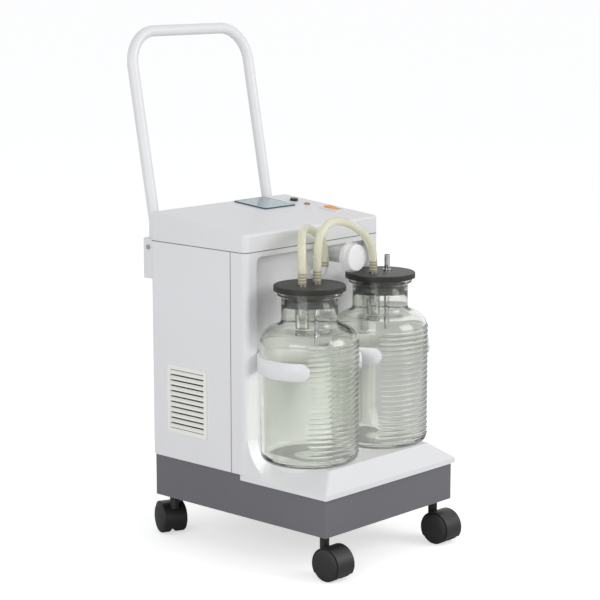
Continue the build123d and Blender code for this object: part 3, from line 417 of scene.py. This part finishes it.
# Jar holders: a sprung clip of white plastic round each jar, held on the recess panel.
# Both tips are rounded, and every edge has a small moulded radius.
holder_tip, holder_clearance = radians(47.4), 0.0013
edge_round, clip_steps = 0.0008, 120
for side in ("left", "right"):
    stopper_low, stopper_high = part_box(f"stopper_{side}")
    low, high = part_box(f"jar_holder_{side}")
    centre_x, centre_y = (stopper_low.x + stopper_high.x) / 2, (stopper_low.y + stopper_high.y) / 2
    outer, inner = (high.x - low.x) / 2, jar_radius + holder_clearance
    middle_z, tall = (low.z + high.z) / 2, (high.z - low.z) / 2
    build = bmesh.new()
    rings = []
    for step in range(clip_steps + 1):
        # more steps near the tips, where the ends curve
        share = 0.5 - 0.5 * cos(pi * step / clip_steps)
        angle = holder_tip + share * 2 * (pi - holder_tip)
        along = min(angle - holder_tip, 2 * pi - holder_tip - angle) * outer
        half = tall if along > tall else (tall ** 2 - (tall - along) ** 2) ** 0.5
        half = max(half, 2 * edge_round)
        section = ((inner, -half + edge_round), (inner + edge_round, -half),
                   (outer - edge_round, -half), (outer, -half + edge_round),
                   (outer, half - edge_round), (outer - edge_round, half),
                   (inner + edge_round, half), (inner, half - edge_round))
        rings.append([build.verts.new((centre_x + out * sin(angle), centre_y - out * cos(angle),
                                       middle_z + up)) for out, up in section])
    for first, second in zip(rings, rings[1:]):
        for corner in range(len(section)):
            after = (corner + 1) % len(section)
            build.faces.new((first[corner], first[after], second[after], second[corner]))
    for tip in (rings[0], rings[-1]):
        build.faces.new(tip)
    clip = settle(build, f"holder_clip_{side}", white_abs, smooth=True)
    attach(clip, "cabinet")
    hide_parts(f"jar_holder_{side}")

# Regulator: a valve whose moulded boss comes through the panel, and a knob on its spindle.
# The knob is turned by hand to bleed air and set the suction.
# the boss is satin plastic, painted light grey to stand for the shade round the knob
shaded_boss_abs, shader = new_finish("shaded_boss_abs", "C9C9C9", roughness=0.4)
dress(grain(shaded_boss_abs, shader, size_mm=1.0, depth_mm=0.01), "valve_body")
# the knob is the whitest piece, with a clear highlight on its rim
knob_white, shader = new_finish("knob_white", "F8F8F8", roughness=0.3)
dress(grain(knob_white, shader, size_mm=1.0, depth_mm=0.01), "regulator_knob")

# Hoses: silicone tube pushed over the barbs of the pipes, with no clips.
# One links the two jars, the other goes from the left jar to the pump port.
stopper_low, stopper_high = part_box("stopper_left")
port_low, port_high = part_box("pump_port")
hose_radius, barb_pitch, barb_count = 0.0058, 0.0042, 3.5
pipe_spread, collar_height, port_inset = 0.030, 0.0023, 0.004
left_jar_x = (stopper_low.x + stopper_high.x) / 2
jar_y = (stopper_low.y + stopper_high.y) / 2
hose_foot = stopper_high.z + collar_height
pipe_a_x = left_jar_x - pipe_spread / 2
pipe_b_x = left_jar_x + pipe_spread / 2
pipe_c_x = -left_jar_x - pipe_spread / 2
port_x = (port_low.x + port_high.x) / 2
port_y = port_low.y + port_inset
# points along the two hoses, which hang free between their ends
link_route = [
    (pipe_b_x, jar_y, hose_foot),
    (pipe_b_x, jar_y, 0.437),
    (-0.050, jar_y + 0.001, 0.463),
    (-0.024, jar_y + 0.002, 0.474),
    (0.004, jar_y + 0.002, 0.469),
    (0.029, jar_y + 0.001, 0.456),
    (0.048, jar_y + 0.001, 0.441),
    (pipe_c_x, jar_y, 0.420),
    (pipe_c_x, jar_y, hose_foot),
]
pump_route = [
    (pipe_a_x, jar_y, hose_foot),
    (pipe_a_x, jar_y, 0.431),
    (-0.080, jar_y + 0.010, 0.452),
    (-0.058, jar_y + 0.028, 0.462),
    (-0.033, jar_y + 0.038, 0.461),
    (-0.010, jar_y + 0.044, 0.449),
    (port_x, port_y, 0.434),
    (port_x, port_y, 0.401),
]
# silicone is milky and yellowish, and lets some light through
silicone, shader = new_finish("silicone_tube", "F7F5DE", roughness=0.25, IOR=1.41,
                              Transmission_Weight=0.35, Subsurface_Weight=0.3)
shader.inputs["Subsurface Radius"].default_value = (0.004, 0.0035, 0.002)
grain(silicone, shader, size_mm=3.0, depth_mm=0.02)
# the barbs of each pipe show through the tube's end as tan rings
place = add(silicone, "ShaderNodeTexCoord").outputs["Object"]
level = add(silicone, "ShaderNodeSeparateXYZ", {"Vector": place})
above = add(silicone, "ShaderNodeMath", {0: level.outputs["Z"], 1: hose_foot}, operation="SUBTRACT")
turns = add(silicone, "ShaderNodeMath", {0: above.outputs[0], 1: 2 * pi / barb_pitch}, operation="MULTIPLY")
wave = add(silicone, "ShaderNodeMath", {0: turns.outputs[0]}, operation="SINE")
tint = add(silicone, "ShaderNodeMath", {0: wave.outputs[0], 1: 0.35, 2: 0.45}, operation="MULTIPLY_ADD")
near = add(silicone, "ShaderNodeMath", {0: above.outputs[0], 1: barb_count * barb_pitch},
           operation="LESS_THAN")
share = add(silicone, "ShaderNodeMath", {0: tint.outputs[0], 1: near.outputs[0]}, operation="MULTIPLY")
barbed = add(silicone, "ShaderNodeMix", {0: share.outputs[0], 6: srgb("F7F5DE"), 7: srgb("A3976B")},
             data_type="RGBA")
silicone.node_tree.links.new(barbed.outputs[2], shader.inputs["Base Color"])


def hose(name, route, replaced):
    """A hose as one smooth spline through its route."""
    curve = bpy.data.curves.new(name, "CURVE")
    curve.dimensions = "3D"
    curve.bevel_depth = hose_radius
    curve.bevel_resolution = 6
    curve.resolution_u = 12
    curve.use_fill_caps = True
    spline = curve.splines.new("NURBS")
    spline.points.add(len(route) - 1)
    for point, spot in zip(spline.points, route):
        point.co = (*spot, 1.0)
    spline.order_u = 3
    spline.use_endpoint_u = True
    piece = bpy.data.objects.new(name, curve)
    bpy.context.scene.collection.objects.link(piece)
    curve.materials.append(silicone)
    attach(piece, "cabinet")
    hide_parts(replaced)


hose("jar_link_tube", link_route, "link_hose")
hose("pump_tube", pump_route, "pump_hose")

# Pump set: a cast motor with a diaphragm head at each end, bolted to the pump plate.
# A moulded fan on its shaft cools it. It shows only through the vent.
# the castings are dull grey and pitted
alloy, shader = new_finish("cast_alloy", "A3A5A7", roughness=0.5, Metallic=1.0)
dress(grain(alloy, shader, size_mm=1.5, depth_mm=0.1, shade=0.05),
      "pump_motor", "pump_head_left", "pump_head_right")
dress(nylon, "motor_fan")

# Studio: a pale floor that runs out to a white backdrop, under two square soft lights.
# The floor glows a little to the camera alone, so it is white but still takes a shadow.
floor_half, floor_glow = 60.0, 0.57
floor_mesh = bpy.data.meshes.new("studio_floor")
floor_mesh.from_pydata(
    [(-floor_half, -floor_half, 0), (floor_half, -floor_half, 0),
     (floor_half, floor_half, 0), (-floor_half, floor_half, 0)], [], [(0, 1, 2, 3)])
floor = bpy.data.objects.new("studio_floor", floor_mesh)
bpy.context.scene.collection.objects.link(floor)
floor_paint = bpy.data.materials.new("studio_floor")
floor_paint.use_nodes = True
floor_paint.node_tree.nodes.clear()
seen = add(floor_paint, "ShaderNodeLightPath")
glow = add(floor_paint, "ShaderNodeEmission", {"Color": (1, 1, 1, 1), "Strength": floor_glow})
matt = add(floor_paint, "ShaderNodeBsdfDiffuse", {"Color": (0.8, 0.8, 0.8, 1)})
both = add(floor_paint, "ShaderNodeAddShader", {0: glow.outputs[0], 1: matt.outputs[0]})
pick = add(floor_paint, "ShaderNodeMixShader", {
    0: seen.outputs["Is Camera Ray"], 1: matt.outputs[0], 2: both.outputs[0]})
add(floor_paint, "ShaderNodeOutputMaterial", {"Surface": pick.outputs[0]})
floor.data.materials.append(floor_paint)

ambient_strength, backdrop_strength = 0.53, 1.0
world = bpy.data.worlds.new("studio")
bpy.context.scene.world = world
world.use_nodes = True
world.node_tree.nodes.clear()
rays = add(world, "ShaderNodeLightPath")
white_seen = add(world, "ShaderNodeMath", {
    0: rays.outputs["Is Camera Ray"], 1: rays.outputs["Is Glossy Ray"]}, operation="MAXIMUM")
white_seen = add(world, "ShaderNodeMath", {
    0: white_seen.outputs[0], 1: rays.outputs["Is Transmission Ray"]}, operation="MAXIMUM")
ambient = add(world, "ShaderNodeBackground", {"Color": (0.97, 0.98, 1.0, 1), "Strength": ambient_strength})
white = add(world, "ShaderNodeBackground", {"Color": (1, 1, 1, 1), "Strength": backdrop_strength})
sky = add(world, "ShaderNodeMixShader", {
    0: white_seen.outputs[0], 1: ambient.outputs[0], 2: white.outputs[0]})
add(world, "ShaderNodeOutputWorld", {"Surface": sky.outputs[0]})


def lamp(name, place, aim, width, power):
    """A square soft light pointed at a spot."""
    light = bpy.data.lights.new(name, "AREA")
    light.size = width
    light.energy = power
    piece = bpy.data.objects.new(name, light)
    piece.location = place
    piece.rotation_euler = (Vector(aim) - Vector(place)).to_track_quat("-Z", "Y").to_euler()
    bpy.context.scene.collection.objects.link(piece)


object_middle = (0.0, 0.0, 0.35)
lamp("key_light", (1.2, -2.4, 1.7), object_middle, width=1.6, power=35)
lamp("side_light", (-2.4, -0.6, 1.0), object_middle, width=1.6, power=20)

# Camera: the photograph's place and lens, standing in front and to the left.
# The focal length is in pixels of a picture 600 pixels wide.
camera_place = (-2.01338, -1.87033, 0.83873)
camera_aim = (-0.00289, -0.02224, 0.34983)
film_width, focal_pixels, image_pixels = 36.0, 1946.64, 600
camera_data = bpy.data.cameras.new("photo_camera")
camera_data.sensor_width = film_width
camera_data.lens = film_width * focal_pixels / image_pixels
camera_data.clip_end = 50
camera = bpy.data.objects.new("photo_camera", camera_data)
camera.location = camera_place
camera.rotation_euler = (Vector(camera_aim) - Vector(camera_place)).to_track_quat("-Z", "Y").to_euler()
bpy.context.scene.collection.objects.link(camera)
bpy.context.scene.camera = camera
bpy.context.scene.view_settings.view_transform = "Standard"
